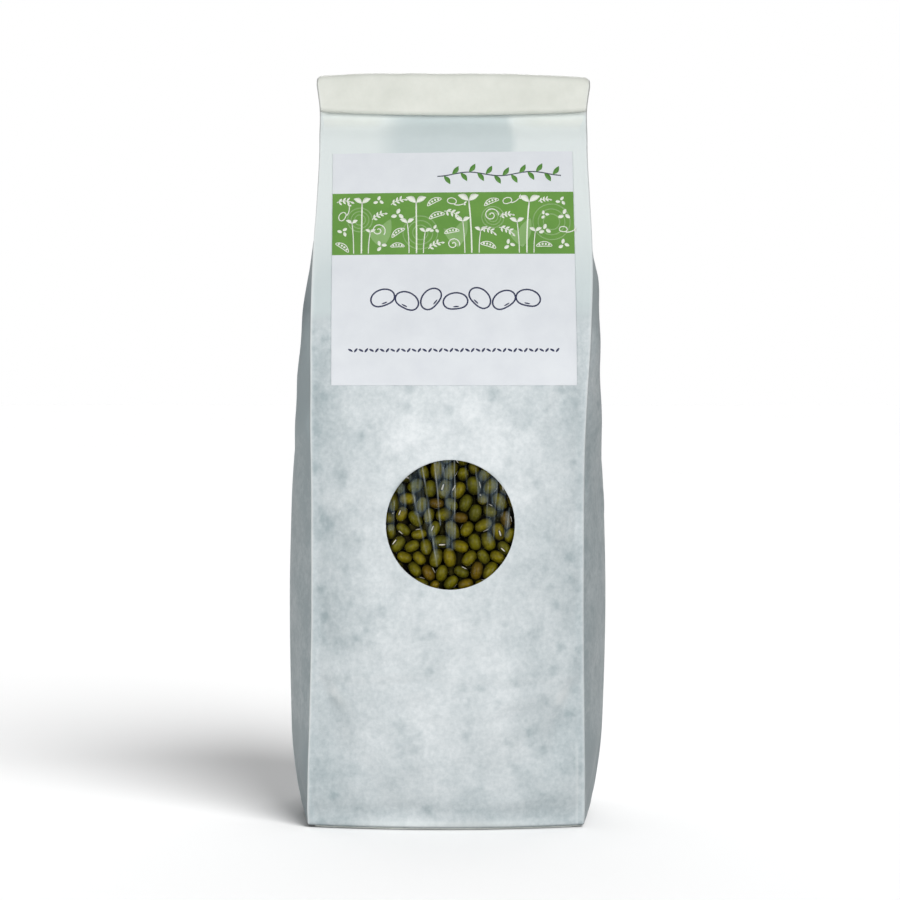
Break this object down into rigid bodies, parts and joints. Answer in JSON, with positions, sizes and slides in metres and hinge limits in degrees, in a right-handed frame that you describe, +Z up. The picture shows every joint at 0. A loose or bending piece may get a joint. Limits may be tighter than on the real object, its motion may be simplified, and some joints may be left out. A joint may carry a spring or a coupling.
{
  "type": "paper bag of mung beans",
  "caption": "Standing white side-gusset paper bag of dried mung beans, top rolled forwards, with a square label and a round film window that shows the beans.",
  "frame": {"origin": "middle of the footprint, on the surface that the bag stands on", "axes": "+Z up, from the block bottom to the rolled top; the front panel with its label and window faces -Y, and +X is to its right"},
  "size_m": [0.0934, 0.0656, 0.2182],
  "materials": {
    "bag_paper": "white bleached kraft paper, slightly glazed, cloudy where the filling touches it",
    "clear_film": "thin clear glossy film with fine upright wrinkles",
    "label_paper": "smooth coated white label paper with a printed green band",
    "bean_skin": "hard, slightly waxy olive green seed skin with a white streak on the hilum"
  },
  "bodies": {
    "root": {"paper_bag": "bag_paper", "window_film": "clear_film", "label": "label_paper", "mung_beans": "bean_skin"}
  },
  "joints": []
}
